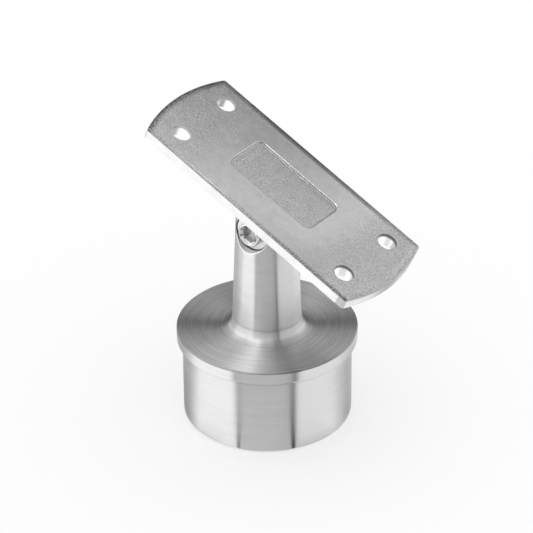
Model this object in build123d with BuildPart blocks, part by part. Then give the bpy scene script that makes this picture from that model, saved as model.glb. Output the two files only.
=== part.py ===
# Handrail post top saddle for a 50.8 mm round tube, all sizes in millimetres
# The cap's spigot goes into the top of the post, and the saddle tilts on a cross screw in the cap's fork
# Origin: on the post's axis, at the underside of the flange, where the tube's end seats
# +Z points up along the post, +Y lies along the cross screw and +X is the saddle's lower end
from math import cos, hypot, radians, sin, sqrt, tan
from build123d import *
import os

# The post's tube and the cap that closes it
tube_diameter = 50.8
tube_wall = 1.5
spigot_clearance = 0.1
spigot_length = 23.5
spigot_wall = 3.0
spigot_nose_radius = 1.3
hollow_draft = 1.0
hollow_corner_chamfer = 2.0
crown_thickness = 5.5
flange_thickness = 4.0
flange_top_chamfer = 0.3
flange_under_rounding = 0.8

# The stem and the fork at its top
pivot_rise = 33.0
stem_draft = 2.4
stem_fillet = 3.5
fork_gap = 7.0
edge_break = 0.25

# The cross screw and the holes that it goes through
screw_diameter = 5.0
screw_hole_clearance = 0.25
thread_clearance = 0.02
screw_tip_inset = 0.5
screw_tip_chamfer = 0.6
thread_mouth_chamfer = 0.4
seat_thickness = 2.85
counterbore_diameter = 10.8
counterbore_margin = 0.18
counterbore_break = 0.15
head_diameter = 7.0
head_height = 2.1
head_chamfer = 0.45
socket_size = 4.0
socket_depth = 2.4
socket_turn = 12.0
socket_mouth_diameter = 5.0
socket_mouth_depth = 0.5
socket_mouth_draft = 45.0

# The saddle: a plate with arched ends, and the lug beneath it
rest_tilt = 24.4
saddle_length = 79.4
saddle_width = 34.2
plate_thickness = 4.0
end_radius = 47.0
corner_rounding = 0.8
plate_top_rounding = 0.45
plate_under_chamfer = 0.4
plate_clearance = 2.3
hole_diameter = 5.5
hole_spacing_along = 60.0
hole_spacing_across = 20.0
recess_length = 30.0
recess_width = 15.0
recess_depth = 0.5
recess_corner_radius = 2.4
recess_draft = 50.0
recess_uphill = 0.7
recess_aside = 0.7
lug_radius = 5.8
lug_side_clearance = 0.1
lug_floor_clearance = 0.6
lug_running_clearance = 0.05
lug_root_fillet = 1.0

# Sizes that follow from the ones above
flange_radius = tube_diameter / 2
spigot_radius = flange_radius - tube_wall - spigot_clearance
hollow_ceiling = flange_thickness - crown_thickness
hollow_mouth_radius = spigot_radius - spigot_wall
hollow_top_radius = hollow_mouth_radius - tan(radians(hollow_draft)) * (spigot_length + hollow_ceiling)
screw_radius = screw_diameter / 2
seat_offset = fork_gap / 2 + seat_thickness
ear_radius = hypot(seat_offset, counterbore_diameter / 2) + counterbore_margin
pivot_height = flange_thickness + pivot_rise
stem_top = pivot_height + ear_radius
stem_slope = tan(radians(stem_draft))
stem_foot_radius = ear_radius + stem_slope * pivot_rise
stem_top_radius = ear_radius - stem_slope * ear_radius
fork_floor = pivot_height - lug_radius - lug_floor_clearance
underside_rise = ear_radius + plate_clearance
end_sagitta = end_radius - sqrt(end_radius**2 - (saddle_width / 2) ** 2)
corner_reach = saddle_length / 2 - end_sagitta
lug_thickness = fork_gap - 2 * lug_side_clearance
clear_of_stem = 4 * stem_foot_radius

# Planes: the pivot's own three, and the tilted ones that the saddle is drawn on
pivot = (0, 0, pivot_height)
downhill = (cos(radians(rest_tilt)), 0, -sin(radians(rest_tilt)))
plate_normal = (sin(radians(rest_tilt)), 0, cos(radians(rest_tilt)))
across_fork = Plane(origin=pivot, x_dir=(1, 0, 0), z_dir=(0, -1, 0))
across_lug = Plane(origin=pivot, x_dir=downhill, z_dir=(0, -1, 0))
saddle_plane = Plane(origin=pivot, x_dir=downhill, z_dir=plate_normal)
plate_underside = saddle_plane.offset(underside_rise)
plate_top = plate_underside.offset(plate_thickness)
screw_seat = across_fork.offset(seat_offset)


# Post cap: spigot, flange and tapered stem turned about the post's axis, then the fork is cut in its top
with BuildPart() as post_cap:
    with BuildSketch(Plane.XZ) as half_section:
        with BuildLine():
            Polyline(
                (0, hollow_ceiling),
                (hollow_top_radius, hollow_ceiling),
                (hollow_mouth_radius, -spigot_length),
                (spigot_radius, -spigot_length),
                (spigot_radius, 0),
                (flange_radius, 0),
                (flange_radius, flange_thickness),
                (stem_foot_radius, flange_thickness),
                (stem_top_radius, stem_top),
                (0, stem_top),
                close=True,
            )
        make_face()
        roundings = [
            (spigot_radius, -spigot_length, spigot_nose_radius),
            (flange_radius, 0, flange_under_rounding),
            (stem_foot_radius, flange_thickness, stem_fillet),
        ]
        for corner_x, corner_z, corner_radius in roundings:
            corner = half_section.vertices().sort_by_distance((corner_x, corner_z))[0]
            fillet(corner, corner_radius)
        bevels = [
            (hollow_top_radius, hollow_ceiling, hollow_corner_chamfer),
            (flange_radius, flange_thickness, flange_top_chamfer),
        ]
        for corner_x, corner_z, corner_width in bevels:
            corner = half_section.vertices().sort_by_distance((corner_x, corner_z))[0]
            chamfer(corner, corner_width)
    revolve(axis=Axis.Z)

    # The ears are rounded about the pivot, so that the plate turns over them
    with BuildSketch(across_fork):
        Rectangle(clear_of_stem, clear_of_stem, align=(Align.CENTER, Align.MIN))
        Circle(ear_radius, mode=Mode.SUBTRACT)
    extrude(amount=clear_of_stem, both=True, mode=Mode.SUBTRACT)

    # The fork's gap, open to both sides and to the top, and the broken edges of the two ears
    with BuildSketch(Plane.YZ.offset(-clear_of_stem)):
        with Locations((0, fork_floor)):
            Rectangle(fork_gap, clear_of_stem, align=(Align.CENTER, Align.MIN))
    extrude(amount=2 * clear_of_stem, mode=Mode.SUBTRACT)
    fork_edges = post_cap.edges().filter_by_position(Axis.Z, fork_floor - edge_break, stem_top + edge_break)
    chamfer(fork_edges.filter_by(GeomType.LINE, reverse=True), edge_break)

    # Counterbore for the screw's head in the near ear, and the clearance hole behind it
    with BuildSketch(screw_seat):
        Circle(counterbore_diameter / 2)
    extrude(amount=clear_of_stem, mode=Mode.SUBTRACT)
    chamfer(post_cap.edges(Select.LAST).sort_by(SortBy.LENGTH)[-1], counterbore_break)
    with BuildSketch(screw_seat):
        Circle(screw_radius + screw_hole_clearance)
    extrude(amount=-seat_offset, mode=Mode.SUBTRACT)

    # Tapped hole through the far ear
    with BuildSketch(across_fork):
        Circle(screw_radius + thread_clearance)
    extrude(amount=-clear_of_stem, mode=Mode.SUBTRACT)
    chamfer(post_cap.edges(Select.LAST).sort_by(Axis.Y)[-1], thread_mouth_chamfer)
post_cap.part.label = "post_cap"


# Saddle: the plate, the recess and screw holes in it, and the rounded lug that turns in the fork
with BuildPart() as saddle:
    with BuildSketch(plate_underside) as outline:
        with BuildLine():
            Polyline((-corner_reach, -saddle_width / 2), (corner_reach, -saddle_width / 2))
            ThreePointArc(
                (corner_reach, -saddle_width / 2),
                (saddle_length / 2, 0),
                (corner_reach, saddle_width / 2),
            )
            Polyline((corner_reach, saddle_width / 2), (-corner_reach, saddle_width / 2))
            ThreePointArc(
                (-corner_reach, saddle_width / 2),
                (-saddle_length / 2, 0),
                (-corner_reach, -saddle_width / 2),
            )
        make_face()
        fillet(outline.vertices(), corner_rounding)
    extrude(amount=plate_thickness)
    across_plate = Axis(pivot, plate_normal)
    fillet(saddle.faces().sort_by(across_plate)[-1].edges(), plate_top_rounding)
    chamfer(saddle.faces().sort_by(across_plate)[0].edges(), plate_under_chamfer)

    # The lug reaches down into the fork, round about the pivot
    with BuildSketch(across_lug):
        Rectangle(2 * lug_radius, underside_rise + plate_thickness / 2, align=(Align.CENTER, Align.MIN))
        Circle(lug_radius)
    extrude(amount=lug_thickness / 2, both=True)
    underside = saddle.faces().filter_by(saddle_plane).sort_by(across_plate)[0]
    fillet(underside.inner_wires().edges(), lug_root_fillet)

    # Screw holes, the recess in the top and the bore for the cross screw
    with Locations(plate_top):
        with GridLocations(hole_spacing_along, hole_spacing_across, 2, 2):
            Hole(hole_diameter / 2, depth=plate_thickness)
    with BuildSketch(plate_top):
        with Locations((-recess_uphill, recess_aside)):
            RectangleRounded(recess_length, recess_width, recess_corner_radius)
    extrude(amount=-recess_depth, taper=recess_draft, mode=Mode.SUBTRACT)
    with BuildSketch(across_lug):
        Circle(screw_radius + lug_running_clearance)
    extrude(amount=lug_thickness, both=True, mode=Mode.SUBTRACT)
saddle.part.label = "saddle"


# Cross screw: a low head with a hex socket, and a shank that ends inside the far ear
with BuildPart() as pivot_screw:
    with BuildSketch(screw_seat):
        Circle(head_diameter / 2)
    extrude(amount=head_height)
    head_face = pivot_screw.faces().sort_by(Axis.Y)[0]
    chamfer(head_face.edges(), head_chamfer)
    with BuildSketch(screw_seat):
        Circle(screw_radius)
    extrude(amount=-(seat_offset + ear_radius - screw_tip_inset))
    tip_face = pivot_screw.faces().sort_by(Axis.Y)[-1]
    chamfer(tip_face.edges(), screw_tip_chamfer)
    with BuildSketch(screw_seat.offset(head_height)):
        RegularPolygon(socket_size / 2, 6, major_radius=False, rotation=socket_turn)
    extrude(amount=-socket_depth, mode=Mode.SUBTRACT)
    with BuildSketch(screw_seat.offset(head_height)):
        Circle(socket_mouth_diameter / 2)
    extrude(amount=-socket_mouth_depth, taper=socket_mouth_draft, mode=Mode.SUBTRACT)
pivot_screw.part.label = "pivot_screw"


os.makedirs("parts", exist_ok=True)
export_step(post_cap.part, "parts/post_cap.step")
export_step(saddle.part, "parts/saddle.step")
export_step(pivot_screw.part, "parts/pivot_screw.step")
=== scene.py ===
# A tilting handrail saddle on its post cap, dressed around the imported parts
import math
import bmesh
import bpy
import numpy as np
from mathutils import Matrix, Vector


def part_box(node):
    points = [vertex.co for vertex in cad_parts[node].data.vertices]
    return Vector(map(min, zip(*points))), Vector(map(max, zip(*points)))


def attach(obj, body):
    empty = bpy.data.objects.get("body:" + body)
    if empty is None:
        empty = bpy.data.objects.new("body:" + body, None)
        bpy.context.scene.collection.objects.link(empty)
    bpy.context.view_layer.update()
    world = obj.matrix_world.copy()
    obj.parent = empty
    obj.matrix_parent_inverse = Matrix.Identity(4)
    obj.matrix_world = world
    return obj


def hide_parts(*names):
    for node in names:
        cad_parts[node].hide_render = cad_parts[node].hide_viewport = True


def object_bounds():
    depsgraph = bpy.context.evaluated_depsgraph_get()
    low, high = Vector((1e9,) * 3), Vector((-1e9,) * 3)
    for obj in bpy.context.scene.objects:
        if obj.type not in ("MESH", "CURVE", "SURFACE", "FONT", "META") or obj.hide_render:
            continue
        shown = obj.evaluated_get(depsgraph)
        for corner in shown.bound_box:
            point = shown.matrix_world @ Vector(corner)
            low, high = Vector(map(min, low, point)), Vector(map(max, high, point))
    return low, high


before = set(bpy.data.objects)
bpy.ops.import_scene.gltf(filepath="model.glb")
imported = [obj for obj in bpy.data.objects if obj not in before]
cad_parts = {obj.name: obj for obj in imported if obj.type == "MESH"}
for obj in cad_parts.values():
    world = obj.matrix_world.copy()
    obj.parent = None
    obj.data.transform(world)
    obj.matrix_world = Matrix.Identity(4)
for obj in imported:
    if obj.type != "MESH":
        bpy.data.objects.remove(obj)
cadBox = [list(corner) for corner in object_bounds()]
mm = 0.001
bpy.context.scene.view_settings.view_transform = "Standard"


# The view of the photograph: a long lens, from the front right and above
cameraSettings = {
    "azimuth": 37.15,       # degrees from looking along +Y
    "elevation": 31.79,     # degrees above level
    "roll": 0.39,           # degrees clockwise, as seen from behind the camera
    "distance": 873.5,      # mm from the aim point
    "aim": (-0.105, 0.014, 22.868),
    "focal": 3151.8,        # focal length in pixels of the photograph
    "imageSize": 533,
    "sensor": 36.0,
}


def makeCamera(s):
    # right = (cos a, sin a, 0), back = (sin a cos e, -cos a cos e, sin e), up = back x right, then rolled
    a, e, r = (math.radians(s[k]) for k in ("azimuth", "elevation", "roll"))
    right = np.array([math.cos(a), math.sin(a), 0.0])
    back = np.array([math.sin(a) * math.cos(e), -math.cos(a) * math.cos(e), math.sin(e)])
    up = np.cross(back, right)
    turned = np.eye(4)
    turned[:3, 0] = right * math.cos(r) - up * math.sin(r)
    turned[:3, 1] = up * math.cos(r) + right * math.sin(r)
    turned[:3, 2] = back
    turned[:3, 3] = (np.array(s["aim"]) + back * s["distance"]) * mm
    data = bpy.data.cameras.new("camera")
    data.sensor_width = s["sensor"]
    data.lens = s["focal"] / s["imageSize"] * s["sensor"]
    data.clip_end = 50
    camera = bpy.data.objects.new("camera", data)
    camera.matrix_world = Matrix(turned.tolist())
    bpy.context.scene.collection.objects.link(camera)
    bpy.context.scene.camera = camera


makeCamera(cameraSettings)
print("camera set")


# Small helpers for meshes and for node trees
def gridMesh(name, points, around=False):
    # rows x columns of points, a quad between each four neighbours; around joins the last column to the first
    rows, cols = points.shape[:2]
    i, j = np.meshgrid(np.arange(rows - 1), np.arange(cols if around else cols - 1), indexing="ij")
    k = (j + 1) % cols
    quads = np.stack([i * cols + j, i * cols + k, (i + 1) * cols + k, (i + 1) * cols + j], -1)
    mesh = bpy.data.meshes.new(name)
    mesh.from_pydata(points.reshape(-1, 3).tolist(), [], quads.reshape(-1, 4).tolist())
    return mesh


def addObject(mesh):
    obj = bpy.data.objects.new(mesh.name, mesh)
    bpy.context.scene.collection.objects.link(obj)
    return obj


def place(tree, kind, **settings):
    node = tree.nodes.new(kind)
    for key, value in settings.items():
        setattr(node, key, value)
    return node


def feed(tree, socket, value):
    if isinstance(value, bpy.types.NodeSocket):
        tree.links.new(value, socket)
    elif isinstance(value, (tuple, list)) and socket.type == "RGBA" and len(value) == 3:
        socket.default_value = (*value, 1)
    else:
        socket.default_value = value


def sums(tree, operation, *values, clamp=False):
    node = place(tree, "ShaderNodeMath", operation=operation, use_clamp=clamp)
    for socket, value in zip(node.inputs, values):
        feed(tree, socket, value)
    return node.outputs[0]


def times(tree, *values):
    product = values[0]
    for value in values[1:]:
        product = sums(tree, "MULTIPLY", product, value)
    return product


def length(tree, *values):
    # the square root of the sum of the squares
    total = 0.0
    for value in values:
        total = sums(tree, "MULTIPLY_ADD", value, value, total)
    return sums(tree, "SQRT", total)


def shift(tree, factor, value, target):
    # value where the factor is 0, target where it is 1
    return sums(tree, "MULTIPLY_ADD", factor, sums(tree, "SUBTRACT", target, value), value)


def dot(tree, vector, direction):
    node = place(tree, "ShaderNodeVectorMath", operation="DOT_PRODUCT")
    feed(tree, node.inputs[0], vector)
    feed(tree, node.inputs[1], direction)
    return node.outputs["Value"]


def ramp(tree, value, low, high, to=(0.0, 1.0)):
    # a smooth step from to[0] at low to to[1] at high
    node = place(tree, "ShaderNodeMapRange", interpolation_type="SMOOTHSTEP")
    for socket, number in zip(node.inputs, (value, low, high, *to)):
        feed(tree, socket, number)
    return node.outputs[0]


def rampMm(tree, value, low, high, to=(0.0, 1.0)):
    return ramp(tree, value, low * mm, high * mm, to)


def between(tree, value, s):
    # in mm: 0 below the first and above the last of four, 1 between the middle two
    return times(tree, rampMm(tree, value, s[0], s[1]), rampMm(tree, value, s[2], s[3], (1.0, 0.0)))


def blendColour(tree, factor, first, second):
    node = place(tree, "ShaderNodeMix", data_type="RGBA")
    for socket, value in zip((node.inputs[0], node.inputs[6], node.inputs[7]), (factor, first, second)):
        feed(tree, socket, value)
    return node.outputs[2]


def tint(tree, amount, colour, grey):
    return blendColour(tree, amount, colour, (grey, grey, grey))


def combine(tree, *values):
    node = place(tree, "ShaderNodeCombineXYZ")
    for socket, value in zip(node.inputs, values):
        feed(tree, socket, value)
    return node.outputs[0]


def newGroup(name, inputs, outputs):
    tree = bpy.data.node_groups.new(name, "ShaderNodeTree")
    for label, kind in inputs.items():
        tree.interface.new_socket(label, in_out="INPUT", socket_type=kind)
    for label, kind in outputs.items():
        tree.interface.new_socket(label, in_out="OUTPUT", socket_type=kind)
    return tree, place(tree, "NodeGroupInput").outputs, place(tree, "NodeGroupOutput").inputs


def useGroup(tree, group, **values):
    node = place(tree, "ShaderNodeGroup", node_tree=group)
    for label, value in values.items():
        feed(tree, node.inputs[label], value)
    return node.outputs


# The studio: white all round, two soft boxes, grey cards between them and pale paper beneath
studio = {
    "world": 1.0,                # strength of the white surroundings
    "paper": 0.5,                # colour of the floor
    "paperLift": 0.5,            # brings the unshaded floor to white behind the object
    "paperHalf": 3.0,            # metres
    "cardDistance": 0.3,         # metres from the post's axis
    "cardSteps": 61,             # points along each side of a card
    "cardLayer": 0.005,          # of the distance, from one card to the next behind it
    "cardLift": 0.9,             # mm above the floor
    "cardDrop": 0.06,            # of the lift, from one card to the next behind it
    "spigot": 23.8,              # mm from the post's axis
}
# around: degrees from the camera's side, + to its right; fade: degrees at its edges
# rise: degrees above the floor, and below 0 the card runs in over the floor, to the spigot at -90
# tone: at its lowest and its highest rise, 1 is white; an earlier card stands in front of a later one
# start: mm from the post's axis, if not the spigot's wall
cards = {
    "leftSeam": {"around": (-43, -37), "rise": (-94, 40), "tone": (0.25, 0.25), "fade": (1.5, 4)},
    "rightSeam": {"around": (31, 38), "rise": (-94, 60), "tone": (0.0, 0.0), "fade": (1.5, 4)},
    "sideLeft": {"around": (-180, -114), "rise": (-96, -73), "tone": (0.35, 0.35), "fade": (26, 5)},
    "sideRight": {"around": (96, 180), "rise": (-98, -71), "tone": (0.4, 0.4), "fade": (36, 6)},
    "backLow": {"around": (138, 222), "rise": (-60, 28), "tone": (0.2, 0.0), "fade": (10, 8), "start": 0.0},
    "backMid": {"around": (146, 214), "rise": (20, 50), "tone": (0.0, 0.5), "fade": (10, 6), "start": 0.0},
    "backHigh": {"around": (126, 182), "rise": (34, 74), "tone": (0.1, 0.6), "fade": (28, 8), "start": 0.0},
    "backTop": {"around": (140, 250), "rise": (44, 89), "tone": (0.7, 0.45), "fade": (14, 6), "start": 0.0},
    "leftHigh": {"around": (-106, -38), "rise": (66, 89), "tone": (5.5, 6.0), "fade": (10, 6)},
    "leftShade": {"around": (-180, -99), "rise": (-77, -40), "tone": (0.6, 0.6), "fade": (4, 3)},
    "leftBox": {"around": (-114, -42), "rise": (-96, 52), "tone": (1.32, 1.8), "fade": (4, 6)},
    "rightBox": {"around": (37.5, 146), "rise": (-98, 40), "tone": (1.24, 1.24), "fade": (3, 8)},
    "topRight": {"around": (16, 116), "rise": (36, 89), "tone": (0.15, 0.05), "fade": (8, 8)},
    "frontLow": {"around": (-38, 32), "rise": (-94, -28), "tone": (0.8, 0.8), "fade": (1.5, 4)},
    "frontDark": {"around": (-38, 32), "rise": (-32, 14), "tone": (0.2, 0.02), "fade": (2, 4)},
    "frontUp": {"around": (-36, 28), "rise": (12, 60), "tone": (1.1, 0.9), "fade": (4, 4)},
}


def makeCard(name, s, room, order):
    # each way round starts at the spigot's wall, where that side is mirrored, at half its angle
    # below 0 it lies flat, at distance x (1 + rise / 90); above, it is distance x (cos rise, sin rise)
    facing = math.radians(cameraSettings["azimuth"] - 90)
    steps = np.linspace(0, 1, room["cardSteps"])
    rise, around = (low + (high - low) * steps for low, high in (s["rise"], s["around"]))
    v, u = np.meshgrid(np.radians(rise), np.radians(around), indexing="ij")
    start = s.get("start", room["spigot"]) * mm
    distance = room["cardDistance"] * (1 + room["cardLayer"] * order)
    out = np.where(v < 0, 1 + v / (math.pi / 2), np.cos(v)) * distance
    across = start * np.cos(u / 2 + facing) + out * np.cos(u + facing)
    back = start * np.sin(u / 2 + facing) + out * np.sin(u + facing)
    points = np.stack([across, back, np.sin(np.maximum(v, 0)) * distance], -1)
    points[..., 2] += cadBox[0][2] + room["cardLift"] * mm * (1 - room["cardDrop"] * order)
    mesh = gridMesh(name, points)
    edges = zip((around, rise), s["fade"])
    sideways, upward = (np.clip(np.minimum(t - t[0], t[-1] - t) / wide, 0, 1) for t, wide in edges)
    fade = upward[:, None] * sideways[None, :]
    tone = np.broadcast_to(np.interp(steps, [0, 1], s["tone"])[:, None], fade.shape)
    for label, values in (("fade", fade), ("tone", tone)):
        mesh.attributes.new(label, "FLOAT", "POINT").data.foreach_set("value", values.ravel())
    card = addObject(mesh)
    card.visible_camera = card.visible_diffuse = card.visible_shadow = False
    material = bpy.data.materials.new(name)
    material.use_nodes = True
    tree = material.node_tree
    glow, mix = place(tree, "ShaderNodeEmission"), place(tree, "ShaderNodeMixShader")
    for socket, label in ((glow.inputs["Strength"], "tone"), (mix.inputs[0], "fade")):
        feed(tree, socket, place(tree, "ShaderNodeAttribute", attribute_name=label).outputs["Fac"])
    feed(tree, mix.inputs[1], place(tree, "ShaderNodeBsdfTransparent").outputs[0])
    feed(tree, mix.inputs[2], glow.outputs[0])
    feed(tree, tree.nodes["Material Output"].inputs["Surface"], mix.outputs[0])
    mesh.materials.append(material)


def seenDirectly(tree):
    # 1 for a ray from the camera, or one reflected or refracted to here
    path = place(tree, "ShaderNodeLightPath").outputs
    either = sums(tree, "MAXIMUM", path["Is Camera Ray"], path["Is Glossy Ray"])
    return sums(tree, "MAXIMUM", either, path["Is Transmission Ray"])


def makeStudio(s):
    world = bpy.data.worlds.new("studio")
    bpy.context.scene.world = world
    world.use_nodes = True
    tree = world.node_tree
    feed(tree, tree.nodes["Background"].inputs["Color"], (1, 1, 1))
    feed(tree, tree.nodes["Background"].inputs["Strength"], s["world"])

    low, half = cadBox[0][2], s["paperHalf"]
    x, y = np.meshgrid([-half, half], [-half, half])
    mesh = gridMesh("paper", np.stack([x, y, np.full_like(x, low)], -1))
    material = bpy.data.materials.new("paper")
    material.use_nodes = True
    tree = material.node_tree
    paper = tree.nodes["Principled BSDF"].inputs
    feed(tree, paper["Base Color"], (s["paper"],) * 3)
    feed(tree, paper["Roughness"], 0.9)
    feed(tree, paper["Specular IOR Level"], 0.0)
    feed(tree, paper["Emission Color"], (1, 1, 1))
    feed(tree, paper["Emission Strength"], times(tree, seenDirectly(tree), s["paperLift"]))
    mesh.materials.append(material)
    addObject(mesh)
    for order, (name, card) in enumerate(cards.items()):
        makeCard(name, card, s, order)


makeStudio(studio)
print("studio set")


# Finishes that more than one part shows
def makeTurningMarks():
    # noise on (distance from the axis, height) is rings; a little of the angle breaks them up
    tree, given, out = newGroup("turningMarks", {"Vector": "NodeSocketVector", "Spacing": "NodeSocketFloat"},
                                {"Fine": "NodeSocketFloat", "Bands": "NodeSocketFloat"})
    parts = place(tree, "ShaderNodeSeparateXYZ")
    feed(tree, parts.inputs[0], given["Vector"])
    x, y, z = parts.outputs
    radius = length(tree, x, y)
    safe = sums(tree, "MAXIMUM", radius, 0.1 * mm)
    for label, wide, turns, detail in (("Fine", 1.0, 1.6, 2.0), ("Bands", 7.0, 0.8, 3.0)):
        noise = place(tree, "ShaderNodeTexNoise", noise_dimensions="4D")
        size = times(tree, given["Spacing"], wide)
        across = [sums(tree, "DIVIDE", value, size) for value in (radius, z)]
        angle = [times(tree, sums(tree, "DIVIDE", value, safe), turns) for value in (x, y)]
        feed(tree, noise.inputs["Vector"], combine(tree, across[0], across[1], angle[0]))
        feed(tree, noise.inputs["W"], angle[1])
        feed(tree, noise.inputs["Scale"], 1.0)
        feed(tree, noise.inputs["Detail"], detail)
        feed(tree, out[label], noise.outputs[0])
    return tree


def makeCastGrain():
    # small pits and bumps of a sand casting, and the slower swell of its skin
    tree, given, out = newGroup("castGrain", {"Vector": "NodeSocketVector", "Size": "NodeSocketFloat"},
                                {"Grain": "NodeSocketFloat", "Swell": "NodeSocketFloat"})
    for label, wide, detail, rough in (("Grain", 1.0, 2.0, 0.6), ("Swell", 9.0, 2.0, 0.5)):
        noise = place(tree, "ShaderNodeTexNoise")
        feed(tree, noise.inputs["Vector"], given["Vector"])
        feed(tree, noise.inputs["Scale"], sums(tree, "DIVIDE", 1.0 / wide, given["Size"]))
        feed(tree, noise.inputs["Detail"], detail)
        feed(tree, noise.inputs["Roughness"], rough)
        feed(tree, out[label], noise.outputs[0])
    return tree


def makeGroundLines():
    # noise stretched along the first axis: the fine scratches of a grinding belt
    tree, given, out = newGroup("groundLines", {"Vector": "NodeSocketVector", "Spacing": "NodeSocketFloat"},
                                {"Lines": "NodeSocketFloat"})
    parts = place(tree, "ShaderNodeSeparateXYZ")
    feed(tree, parts.inputs[0], given["Vector"])
    stretch = 40.0
    along = sums(tree, "DIVIDE", parts.outputs[0], times(tree, given["Spacing"], stretch))
    side = [sums(tree, "DIVIDE", value, given["Spacing"]) for value in parts.outputs[1:]]
    noise = place(tree, "ShaderNodeTexNoise")
    feed(tree, noise.inputs["Vector"], combine(tree, along, *side))
    feed(tree, noise.inputs["Scale"], 1.0)
    feed(tree, noise.inputs["Detail"], 3.0)
    feed(tree, out["Lines"], noise.outputs[0])
    return tree


turningMarks = makeTurningMarks()
castGrain = makeCastGrain()
groundLines = makeGroundLines()


def newMetal(name, s):
    material = bpy.data.materials.new(name)
    material.use_nodes = True
    tree = material.node_tree
    metal = tree.nodes["Principled BSDF"].inputs
    feed(tree, metal["Metallic"], 1.0)
    feed(tree, metal["Anisotropic"], s["anisotropy"])
    feed(tree, metal["Anisotropic Rotation"], s["turn"])
    tangent = place(tree, "ShaderNodeTangent", direction_type="RADIAL", axis=s["axis"])
    feed(tree, metal["Tangent"], tangent.outputs[0])
    where = place(tree, "ShaderNodeTexCoord").outputs["Object"]
    return material, tree, metal, where


def raiseBy(tree, metal, height):
    # height in millimetres
    bump = place(tree, "ShaderNodeBump")
    feed(tree, bump.inputs["Strength"], 1.0)
    feed(tree, bump.inputs["Distance"], mm)
    feed(tree, bump.inputs["Height"], height)
    feed(tree, metal["Normal"], bump.outputs[0])


# The post cap: turned all over, with fine rings round the post's axis
turnedSteel = {
    "dark": (0.63, 0.63, 0.635),
    "light": (0.68, 0.68, 0.68),
    "shares": (0.5, 0.5),       # of the fine rings and of the broad bands in the tone
    "noise": (0.35, 0.65),      # noise levels of the dark and the light tone, and of the two roughnesses
    "roughness": (0.31, 0.34),
    "anisotropy": 1.0,
    "turn": 0.25,
    "axis": "Z",
    "spacing": 0.4 * mm,
    "depth": 0.001,             # mm, on the spigot and the stem
    "line": 0.08,               # the grey of its shaded lines
    # the flange's top, where the rings are deepest; mm up, and it fades out in the stem's root
    "face": (3.8, 4.0, 4.3, 5.4),
    "faceRoughness": 0.45,
    "faceDepth": 0.05,          # mm
    "faceTone": 0.18,           # how much darker its grooves are
    "grooveNoise": (0.35, 0.6),
    "groove": 0.2,              # their grey
    # the shaded corner under the flange, and the flange's upper edge; mm up
    "under": (-1.2, -0.6, 0.0, 0.3),
    "underDark": 0.35,
    "rim": (3.6, 3.7, 3.94, 3.98),
    "rimDark": 0.6,
    # the turned step where the stem's root begins to round; mm up
    "root": (5.9, 7.5),
    "rootDepth": 0.14,          # mm
    "rootLine": (7.3, 7.6, 7.8, 8.2),
    "rootLineDark": 0.16,
    "rootZone": (5.2, 6.0, 7.5, 9.5),
    "rootRoughness": 0.38,
    # the counterbore: painted shade in its floor's corner and a painted highlight on its broken outer edge; mm
    # along the screw, or from its middle
    "screwHeight": 37.0,        # mm up
    "boreFloor": (-6.75, -6.45, -6.3, -6.2),
    "boreCorner": (4.9, 5.2, 5.5, 5.6),
    "boreDark": 0.9,
    "boreShade": 0.03,          # its grey
    "boreMouth": (-6.8, -6.6),
    "boreLip": (5.36, 5.42, 5.6, 5.7),
    "boreLipLight": 0.8,
    "lipShine": 0.95,           # its grey
}


def makeTurnedSteel(s):
    material, tree, metal, where = newMetal("turnedSteel", s)
    marks = useGroup(tree, turningMarks, Vector=where, Spacing=s["spacing"])
    side, into, height = (dot(tree, where, way) for way in ((1, 0, 0), (0, 1, 0), (0, 0, 1)))
    face = between(tree, height, s["face"])

    fine, broad = s["shares"]
    mixed = sums(tree, "MULTIPLY_ADD", marks["Fine"], fine, times(tree, marks["Bands"], broad))
    colour = blendColour(tree, ramp(tree, mixed, *s["noise"]), s["dark"], s["light"])
    for part in ("under", "rim", "rootLine"):
        line = times(tree, between(tree, height, s[part]), s[part + "Dark"])
        colour = tint(tree, line, colour, s["line"])
    # painted shade in the counterbore's floor corner, and a painted highlight on its lip
    away = length(tree, side, sums(tree, "SUBTRACT", height, s["screwHeight"] * mm))
    corner = times(tree, between(tree, into, s["boreFloor"]), between(tree, away, s["boreCorner"]))
    colour = tint(tree, times(tree, corner, s["boreDark"]), colour, s["boreShade"])
    lip = times(tree, between(tree, away, s["boreLip"]), rampMm(tree, into, *s["boreMouth"], (1.0, 0.0)))
    colour = tint(tree, times(tree, lip, s["boreLipLight"]), colour, s["lipShine"])
    grooves = times(tree, face, s["faceTone"], ramp(tree, marks["Fine"], *s["grooveNoise"], (1.0, 0.0)))
    feed(tree, metal["Base Color"], tint(tree, grooves, colour, s["groove"]))

    roughness = ramp(tree, marks["Bands"], *s["noise"], s["roughness"])
    roughness = shift(tree, face, roughness, s["faceRoughness"])
    roughness = shift(tree, between(tree, height, s["rootZone"]), roughness, s["rootRoughness"])
    feed(tree, metal["Roughness"], roughness)

    depth = ramp(tree, face, 0.0, 1.0, (s["depth"], s["faceDepth"]))
    step = rampMm(tree, height, *s["root"], (s["rootDepth"], 0.0))
    raiseBy(tree, metal, sums(tree, "MULTIPLY_ADD", marks["Fine"], depth, step))
    return material


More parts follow.
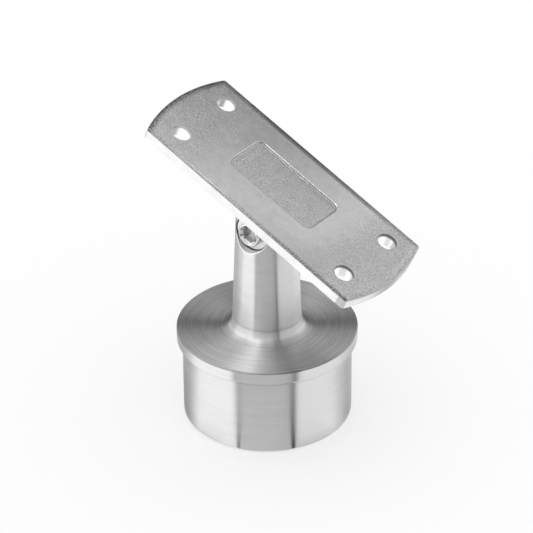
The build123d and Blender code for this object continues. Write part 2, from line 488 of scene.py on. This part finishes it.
# The saddle: a casting, ground smooth along the middle of its top, its skin left at both ends and in the recess
# along: mm down the plate from its middle; across: mm from its middle, + away from the screw's head
# rise: mm above the pivot, square to the plate
castSteel = {
    "dark": (0.63, 0.63, 0.635),
    "light": (0.69, 0.69, 0.69),
    "shares": (0.6, 0.4),       # of the casting's swell and of the ground lines in the tone
    "noise": (0.35, 0.6),       # noise levels of the dark and the light tone
    "roughness": (0.32, 0.38),  # of the ground middle and of the skin
    "anisotropy": 0.3,
    "turn": 0.25,
    "axis": "Y",
    "tilt": 24.4,               # degrees
    "pivot": 37.0,              # mm above the origin
    "downhill": (0.0, 32.0),    # along, where the painted light on the lower end begins and is full
    "paintedLightAmount": 0.4,
    "paintedLightGrey": 0.85,      # the grey that it grows to
    # the skin's grain and pits
    "grain": 0.34 * mm,
    "grainDepth": 0.3,          # mm
    "pits": (0.36, 0.56),       # noise levels of the darkest pits and of the plain skin
    "pitTone": (0.12, 0.42),    # how much darker they are, on the ground middle and on the skin
    "pit": 0.06,                # their grey
    "middle": (14.0, 34.0),     # along, where the grain begins to show and is full
    "middleGrain": 0.12,        # how much of it is left before that
    "patches": 14.0,            # mm, how unevenly the grinding ends
    # the ground top
    "crown": (0.0006, 0.005),   # 1/mm, how much it falls off along and across
    "lines": 0.16 * mm,
    "lineDepth": 0.003,         # mm
    # the recess
    "recess": (14.38, 14.78),   # rise
    "recessFloor": (14.0, 14.2),  # rise, where its walls begin
    "recessDark": 0.5,          # painted shade on its walls
    "recessWall": 0.08,         # their grey
    "recessPits": 0.4,          # how much of the pits' tone it has
    # the worn edges, with painted shade along them: both ends, the far side and the near side
    "arcCentre": 7.3,           # mm past the middle, the centre of an end's arc
    "arc": (44.6, 47.0),        # mm from that centre
    "side": (14.8, 17.1),       # across
    "near": (-16.3, -16.9),     # across
    "worn": 0.4,                # mm
    "arcDark": (0.95, 0.2),     # uphill and downhill
    "sideDark": (0.85, 0.6),
    "nearDark": (0.35, 0.7),
    "edgeShadeAlong": (-10.0, 30.0),  # along, where it is uphill and downhill
    "nearAlong": (-20.0, 30.0),
    "edgeShadeNoise": (0.4, 0.6),    # noise levels of the dark and the bright grains
    "edgeShadeGaps": (1.2, 0.55),    # how much of the painted shade is on them
    "edgeShade": 0.04,               # its grey
    # the holes
    "holes": (30.0, 10.0),      # along and across
    "holeRadius": (2.8, 2.9),   # mm, where their walls end and the plate begins
    "holeRoughness": 0.35,
    "holeTone": (0.95, 0.95, 0.95),
    "holeRim": (13.5, 14.2),    # rise, the shaded top of a wall
    "holeRimDark": (0.35, 0.8),  # uphill and downhill
    "holeAlong": (-10.0, 20.0),  # along, where that is
    # the sides, smooth up to here, and the lower end, at its near and its far corner, with painted shade on
    # them
    "sides": (13.9, 14.3),      # rise
    "sideRoughness": 0.2,
    "sideTone": 0.04,           # how much darker they are
    "sideShade": 0.1,           # their grey
    "end": (34.5, 36.5),        # along
    "endAcross": (-17.0, 17.0),
    "endTone": (0.12, 0.7),     # how much darker it is
}


def makeCastSteel(s):
    material, tree, metal, where = newMetal("castSteel", s)
    slope, pivot = math.radians(s["tilt"]), s["pivot"] * mm
    along = dot(tree, where, (math.cos(slope), 0, -math.sin(slope)))
    along = sums(tree, "ADD", along, pivot * math.sin(slope))
    rise = dot(tree, where, (math.sin(slope), 0, math.cos(slope)))
    rise = sums(tree, "SUBTRACT", rise, pivot * math.cos(slope))
    across = dot(tree, where, (0, 1, 0))
    local = combine(tree, along, across, rise)
    cast = useGroup(tree, castGrain, Vector=where, Size=s["grain"])
    lines = useGroup(tree, groundLines, Vector=local, Spacing=s["lines"])["Lines"]

    # Masks, each 1 on what it names
    top = rampMm(tree, rise, *s["sides"])
    sides = sums(tree, "SUBTRACT", 1.0, top)
    reach = sums(tree, "ABSOLUTE", along)
    patchy = sums(tree, "MULTIPLY_ADD", sums(tree, "SUBTRACT", cast["Swell"], 0.5), s["patches"] * mm, reach)
    ends = rampMm(tree, patchy, *s["middle"], (s["middleGrain"], 1.0))
    recess = rampMm(tree, rise, *s["recess"], (1.0, 0.0))
    skin = times(tree, sums(tree, "MAXIMUM", ends, recess), top)
    out = sums(tree, "ADD", reach, s["arcCentre"] * mm)
    arc = rampMm(tree, length(tree, out, across), *s["arc"])
    side, near = (rampMm(tree, across, *s[edge]) for edge in ("side", "near"))
    aside = sums(tree, "ABSOLUTE", across)
    off = [sums(tree, "SUBTRACT", way, spot * mm) for way, spot in zip((reach, aside), s["holes"])]
    bore = rampMm(tree, length(tree, *off), *s["holeRadius"], (1.0, 0.0))

    # The metal's tone, the painted light on the lower end, then the pits, the painted shade on the recess's
    # walls, on the sides and on the worn edges, and the holes
    swell, ground = s["shares"]
    mixed = sums(tree, "MULTIPLY_ADD", cast["Swell"], swell, times(tree, lines, ground))
    colour = blendColour(tree, ramp(tree, mixed, *s["noise"]), s["dark"], s["light"])
    # painted light: the plate's lower end made paler, as if lit more
    paintedLight = rampMm(tree, along, *s["downhill"], (0.0, s["paintedLightAmount"]))
    colour = tint(tree, paintedLight, colour, s["paintedLightGrey"])
    rough = sums(tree, "MAXIMUM", ends, times(tree, recess, s["recessPits"]))
    pitted = ramp(tree, rough, 0.0, 1.0, s["pitTone"])
    pits = times(tree, ramp(tree, cast["Grain"], *s["pits"], (1.0, 0.0)), pitted, top)
    colour = tint(tree, pits, colour, s["pit"])
    inside = sums(tree, "SUBTRACT", 1.0, recess)
    # painted shade on the recess's walls
    walls = times(tree, recess, inside, 4 * s["recessDark"], rampMm(tree, rise, *s["recessFloor"]))
    colour = tint(tree, walls, colour, s["recessWall"])
    # painted shade on the sides, deeper at the lower end's far corner
    lower = times(tree, rampMm(tree, along, *s["end"]), rampMm(tree, across, *s["endAcross"], s["endTone"]))
    shade = times(tree, sides, sums(tree, "MAXIMUM", lower, s["sideTone"]))
    colour = tint(tree, shade, colour, s["sideShade"])
    # painted shade along the worn edges, graded along the plate and broken up by the grain
    edgeShade = 0.0
    edges = ((arc, "edgeShadeAlong", "arcDark"), (side, "edgeShadeAlong", "sideDark"), (near, "nearAlong", "nearDark"))
    for edge, span, dark in edges:
        edgeShade = sums(tree, "MAXIMUM", edgeShade, times(tree, edge, rampMm(tree, along, *s[span], s[dark])))
    gaps = ramp(tree, cast["Grain"], *s["edgeShadeNoise"], s["edgeShadeGaps"])
    edgeShade = sums(tree, "MULTIPLY", times(tree, edgeShade, top), gaps, clamp=True)
    colour = tint(tree, edgeShade, colour, s["edgeShade"])
    rim = times(tree, rampMm(tree, rise, *s["holeRim"]), rampMm(tree, along, *s["holeAlong"], s["holeRimDark"]))
    feed(tree, metal["Base Color"], blendColour(tree, bore, colour, tint(tree, rim, s["holeTone"], s["pit"])))

    roughness = ramp(tree, skin, 0.0, 1.0, s["roughness"])
    roughness = shift(tree, sides, roughness, s["sideRoughness"])
    feed(tree, metal["Roughness"], shift(tree, bore, roughness, s["holeRoughness"]))

    grain = times(tree, cast["Grain"], skin, s["grainDepth"])
    height = sums(tree, "MULTIPLY_ADD", lines, s["lineDepth"], grain)
    for way, fall in zip((along, across), s["crown"]):
        height = sums(tree, "SUBTRACT", height, times(tree, way, way, fall / mm / mm))
    worn = times(tree, sums(tree, "MAXIMUM", arc, side), s["worn"])
    raiseBy(tree, metal, sums(tree, "SUBTRACT", height, worn))
    return material


# The cross screw: a low head with a hex socket, and a thread on the end that grips the far ear; sizes in mm
crossScrew = {
    "head": 2.1,
    "rim": 0.5,
    "socket": 4.2,              # across its flats
    "socketTurn": 12.0,         # degrees
    "socketDepth": 2.4,
    "drillPoint": 0.35,
    "drillWide": 0.45,          # of the socket's width
    "mouth": 2.95,
    "shank": 2.5,
    "threadFrom": 11.0,         # from the head's face
    "plainEnd": 10.9,           # from the head's face, the last ring of the plain shank
    "pitch": 0.8,
    "threadDepth": 0.4,
    "tip": 0.6,
    "columns": 180,
    "wallRows": 25,
    "rimRows": 9,
    "rowsPerTurn": 12,
    "merge": 0.0005,            # points closer than this are joined
    "sharp": 32.0,              # degrees, where shading breaks
    "dark": (0.58, 0.58, 0.58),
    "light": (0.70, 0.70, 0.70),
    "noise": (0.3, 0.7),
    "roughness": (0.20, 0.28),
    "anisotropy": 0.4,
    "turn": 0.25,
    "axis": "Y",
    "grain": 0.6 * mm,
    "inside": (0.4, 2.4),       # from the head's face, where the painted shade in the socket begins and is full
    "insideDark": 0.15,
    "insideShade": 0.1,         # its grey
}


def screwPoints(s, reach, headRadius):
    # rings at a depth from the head's face; in the socket, the larger of the hexagon's radius and the mouth's
    # hexagon: half the flats / cos(angle from the nearest flat); thread: the shank less a triangle wave of
    # depth / pitch - angle / 360, growing in from its start; tip: no more than a 45 degree cone
    turn = np.linspace(0, 2 * math.pi, s["columns"], endpoint=False)
    flat = (turn - math.radians(s["socketTurn"]) + math.pi / 6) % (math.pi / 3) - math.pi / 6
    hexagon = s["socket"] / 2 / np.cos(flat)
    floor = [s["socketDepth"] + s["drillPoint"], s["socketDepth"], s["socketDepth"]]
    floorRings = [np.zeros_like(turn), np.full_like(turn, s["drillWide"] * s["socket"]), hexagon]
    walls = np.linspace(s["socketDepth"], 0, s["wallRows"])
    socket = np.maximum(hexagon, (s["mouth"] - walls)[:, None])
    bend = np.linspace(0, math.pi / 2, s["rimRows"])
    rim = s["rim"] * (1 - np.cos(bend))
    rimRadius = headRadius - s["rim"] * (1 - np.sin(bend))
    plain = [s["head"], s["head"], s["plainEnd"]]
    plainRadius = [headRadius, s["shank"], s["shank"]]
    rows = int((reach - s["threadFrom"]) / s["pitch"] * s["rowsPerTurn"])
    along = np.linspace(s["threadFrom"], reach, rows)
    phase = (along[:, None] / s["pitch"] - turn / (2 * math.pi)) % 1
    grow = np.clip((along - s["threadFrom"]) / s["pitch"], 0, 1)[:, None]
    thread = s["shank"] - s["threadDepth"] * grow * 2 * np.minimum(phase, 1 - phase)
    cone = s["shank"] - np.maximum(along - (reach - s["tip"]), 0)
    thread = np.minimum(thread, cone[:, None])
    depth = np.concatenate([floor, walls, rim, plain, along, [reach]])
    smooth = [np.full_like(turn, radius) for radius in (*rimRadius, *plainRadius)]
    radius = np.array([*floorRings, *socket, *smooth, *thread, np.zeros_like(turn)])
    back = np.repeat(depth[:, None], s["columns"], 1)
    return np.stack([radius * np.cos(turn), back, radius * np.sin(turn)], -1)


def makeScrew(s):
    low, high = (np.array(corner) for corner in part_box("pivot_screw"))
    points = screwPoints(s, (high[1] - low[1]) / mm, (high[2] - low[2]) / 2 / mm) * mm
    points += np.array([(low[0] + high[0]) / 2, low[1], (low[2] + high[2]) / 2])
    mesh = gridMesh("crossScrew", points, around=True)
    whole = bmesh.new()
    whole.from_mesh(mesh)
    bmesh.ops.remove_doubles(whole, verts=whole.verts, dist=s["merge"] * mm)
    bmesh.ops.recalc_face_normals(whole, faces=whole.faces)
    whole.to_mesh(mesh)
    whole.free()
    mesh.polygons.foreach_set("use_smooth", np.ones(len(mesh.polygons), dtype=bool))
    mesh.set_sharp_from_angle(angle=math.radians(s["sharp"]))
    screw = addObject(mesh)
    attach(screw, "post")
    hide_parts("pivot_screw")
    return screw, low[1]


def makeScrewSteel(s, face):
    material, tree, metal, where = newMetal("screwSteel", s)
    cast = useGroup(tree, castGrain, Vector=where, Size=s["grain"])
    colour = blendColour(tree, ramp(tree, cast["Grain"], *s["noise"]), s["dark"], s["light"])
    depth = sums(tree, "SUBTRACT", dot(tree, where, (0, 1, 0)), face)
    # painted shade deeper in the hex socket
    inside = times(tree, rampMm(tree, depth, *s["inside"]), s["insideDark"])
    feed(tree, metal["Base Color"], tint(tree, inside, colour, s["insideShade"]))
    feed(tree, metal["Roughness"], ramp(tree, cast["Swell"], *s["noise"], s["roughness"]))
    return material


screw, headFace = makeScrew(crossScrew)
screw.data.materials.append(makeScrewSteel(crossScrew, headFace))
print("screw made")


finishes = {"post_cap": makeTurnedSteel(turnedSteel), "saddle": makeCastSteel(castSteel)}
for node, material in finishes.items():
    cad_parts[node].data.materials.clear()
    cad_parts[node].data.materials.append(material)
print("finishes on")
